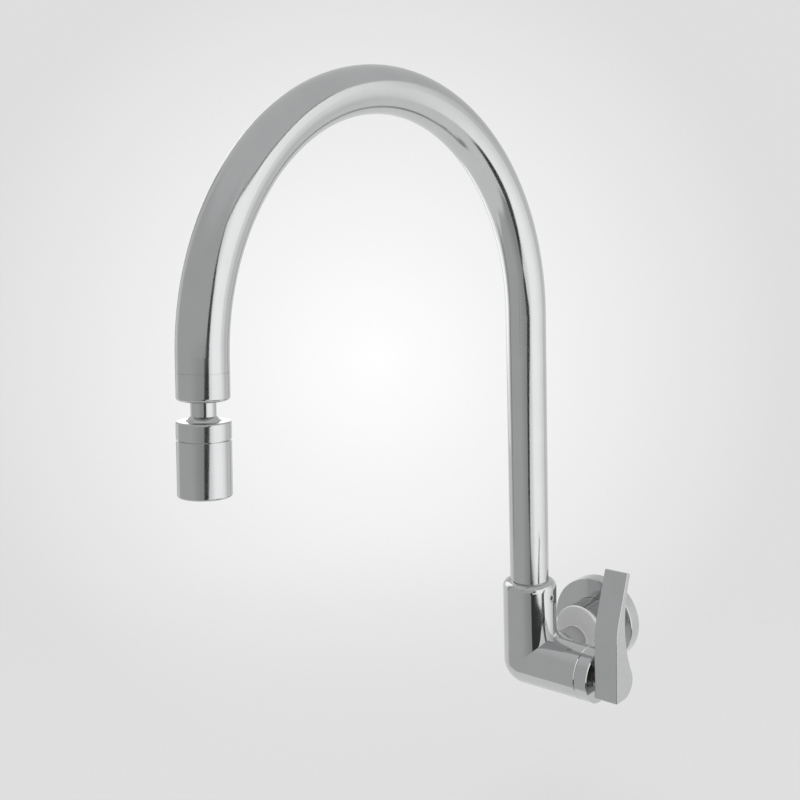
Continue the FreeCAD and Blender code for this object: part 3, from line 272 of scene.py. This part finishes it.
def make_world():
    """A grey dome over a pale room; straight ahead, a pale backdrop."""
    world = bpy.data.worlds.new("studio")
    tree, out = shader_tree(world, "ShaderNodeOutputWorld")
    direction = tree.nodes.new("ShaderNodeTexCoord").outputs["Generated"]
    split = tree.nodes.new("ShaderNodeSeparateXYZ")
    tree.links.new(direction, split.inputs[0])

    ahead = math_node(tree, "MULTIPLY", split.outputs["Y"], -1.0)
    turn = math_node(tree, "ARCTAN2", split.outputs["X"], ahead)
    rise = math_node(tree, "ARCSINE", split.outputs["Z"])
    degree = math.radians(1)

    low = smooth(tree, rise, 5 * degree, -10 * degree, 0.0, FRONT - FRONT_LOW)
    shade = math_node(tree, "MULTIPLY", low, smooth(tree, turn, -10 * degree, 40 * degree, 0, 1))
    front = smooth(tree, rise, 33 * degree, 58 * degree,
                   math_node(tree, "SUBTRACT", FRONT, shade), DOME)
    behind = smooth(tree, rise, -50 * degree, -5 * degree, BACK, BACK - 0.06)
    back = smooth(tree, rise, -5 * degree, 22 * degree, behind, DOME)
    left_side = smooth(tree, turn, -82 * degree, -70 * degree, 0.0, 1.0)
    right_side = smooth(tree, turn, 62 * degree, 75 * degree, 1.0, 0.0)
    hem = smooth(tree, turn, -75 * degree, -20 * degree, -32 * degree, -60 * degree)
    over = math_node(tree, "SUBTRACT", rise, hem)
    above = smooth(tree, over, -4 * degree, 6 * degree, 0.0, 1.0)
    sides = math_node(tree, "MULTIPLY", left_side, right_side)
    share = math_node(tree, "MULTIPLY", sides, above)
    light = mix_value(tree, share, back, front)

    middle = vector_node(tree, "DOT_PRODUCT", direction, BACKDROP_AIM)
    away = math_node(tree, "ARCCOSINE", math_node(tree, "MINIMUM", middle, 1.0))
    backdrop = spread(tree, away, BACKDROP_MIDDLE, BACKDROP_EDGE, 0.0, BACKDROP_SPREAD)

    shown = tree.nodes.new("ShaderNodeLightPath").outputs["Is Camera Ray"]
    strength = mix_value(tree, shown, light, backdrop)
    background = tree.nodes.new("ShaderNodeBackground")
    background.inputs["Color"].default_value = (1, 1, 1, 1)
    tree.links.new(strength, background.inputs["Strength"])
    tree.links.new(background.outputs[0], out.inputs["Surface"])
    scene.world = world


def plane(name, corners, material):
    """A flat stage piece by its corners, in the order of its outline."""
    mesh = bpy.data.meshes.new(name)
    mesh.from_pydata([Vector(corner) for corner in corners], [], [range(len(corners))])
    mesh.materials.append(material)
    piece = bpy.data.objects.new(name, mesh)
    scene.collection.objects.link(piece)
    return piece


def make_floor():
    """A pale floor that keeps the shadow and fades out into the backdrop."""
    material = bpy.data.materials.new("floor")
    tree, out = shader_tree(material, "ShaderNodeOutputMaterial")
    diffuse = tree.nodes.new("ShaderNodeBsdfDiffuse")
    diffuse.inputs["Color"].default_value = (0.93, 0.93, 0.93, 1)
    clear = tree.nodes.new("ShaderNodeBsdfTransparent")
    mix = tree.nodes.new("ShaderNodeMixShader")
    place = tree.nodes.new("ShaderNodeNewGeometry").outputs["Position"]
    flat = vector_node(tree, "SUBTRACT", place, (0, MIDDLE_Y, FLOOR_Z))
    away = tree.nodes.new("ShaderNodeVectorMath")
    away.operation = "LENGTH"
    tree.links.new(flat, away.inputs[0])
    fade = smooth(tree, away.outputs["Value"], 0.1, FLOOR_REACH, 0.0, 1.0)
    tree.links.new(fade, mix.inputs[0])
    tree.links.new(diffuse.outputs[0], mix.inputs[1])
    tree.links.new(clear.outputs[0], mix.inputs[2])
    tree.links.new(mix.outputs[0], out.inputs["Surface"])
    near, far = MIDDLE_Y - FLOOR_REACH, MIDDLE_Y + FLOOR_REACH
    floor = plane("floor", [(-FLOOR_REACH, near, FLOOR_Z), (FLOOR_REACH, near, FLOOR_Z),
                            (FLOOR_REACH, far, FLOOR_Z), (-FLOOR_REACH, far, FLOOR_Z)],
                  material)
    floor.visible_glossy = False


def glow(name, *ramps):
    """Light whose level is the lowest of some ramps: axis, start, end and their levels."""
    material = bpy.data.materials.new(name)
    tree, out = shader_tree(material, "ShaderNodeOutputMaterial")
    place = tree.nodes.new("ShaderNodeNewGeometry").outputs["Position"]
    split = tree.nodes.new("ShaderNodeSeparateXYZ")
    tree.links.new(place, split.inputs[0])
    level = None
    for axis, start, end, low, high in ramps:
        ramp = smooth(tree, split.outputs[axis], start, end, low, high)
        level = ramp if level is None else math_node(tree, "MINIMUM", level, ramp)
    emission = tree.nodes.new("ShaderNodeEmission")
    tree.links.new(level, emission.inputs["Strength"])
    tree.links.new(emission.outputs[0], out.inputs["Surface"])
    return material


def card(name, depth, outline, material):
    """An upright screen at a distance to the side, by its outline.

    It shows in the chrome alone, not in the picture or on the floor.
    """
    piece = plane(name, [(depth, y, z) for y, z in outline], material)
    piece.visible_camera = False
    piece.visible_diffuse = False
    piece.visible_shadow = False


def make_screens():
    """Light panels at both sides; dark gaps border them towards the camera and below."""
    right = glow("right_light", ("Y", -0.48, -0.22, 1.08, 1.42), ("Y", -0.1, 1.1, 1.42, 0.8))
    inner = [(-0.72, -0.22), (-0.60, 0.0), (-0.48, 0.07), (-0.45, 0.13), (-0.39, 0.22),
             (-0.375, 0.315), (-0.44, 0.45), (-0.46, 0.60)]
    top = [(-0.30, 0.60), (-0.12, 0.545), (0.06, 0.575), (0.17, 0.66), (0.30, 0.72)]
    far_end = [(1.5, 0.9), (1.5, -0.45), (0.45, -0.36), (-0.05, -0.20)]
    card("right_light", RIGHT_X, inner + top + far_end, right)
    black = glow("black_gap", ("Y", 0, 1, BLACK, BLACK))
    outer = [(-0.98, -0.22), (-0.88, 0.0), (-0.80, 0.06), (-0.72, 0.12), (-0.55, 0.20),
             (-0.50, 0.32), (-0.50, 0.45), (-0.49, 0.63)]
    card("gap_side", RIGHT_X, inner + outer[::-1], black)
    over_top = [(y, z + 0.035) for y, z in top[::-1]]
    card("gap_top", RIGHT_X, inner[-1:] + top + over_top + outer[-1:], black)
    card("gap_low", RIGHT_X, [(-0.80, -0.22), (-0.05, -0.20), (0.20, -0.28), (0.20, -0.46),
                              (-0.05, -0.52), (-0.80, -0.38)], black)
    left = glow("left_light", ("Z", 0.05, 0.17, 1.1, 1.6), ("Y", 0.1, 0.35, 1.6, 1.0),
                ("Y", -0.16, -0.05, 0.6, 1.6))
    card("left_light", LEFT_X, [(-0.16, 0.045), (0.02, 0.045), (0.10, 0.13), (0.13, 0.25),
                                (0.06, 0.38), (-0.16, 0.38)], left)
    grey = glow("grey_gap", ("Y", 0, 1, GREY, GREY))
    card("gap_left", LEFT_X, [(-0.225, -0.05), (-0.195, -0.05), (-0.195, 0.43),
                              (-0.225, 0.43)], grey)


def make_lamp():
    """A soft lamp overhead, for the floor and its shadow."""
    data = bpy.data.lights.new("overhead", "AREA")
    data.shape = "SQUARE"
    data.size = LAMP_SIZE
    data.energy = LAMP_WATTS
    lamp = bpy.data.objects.new("overhead", data)
    lamp.location = (0.0, MIDDLE_Y, LAMP_HEIGHT)
    lamp.visible_glossy = False
    lamp.visible_camera = False
    scene.collection.objects.link(lamp)


make_camera()
make_world()
make_floor()
make_screens()
make_lamp()
scene.view_settings.view_transform = "Standard"
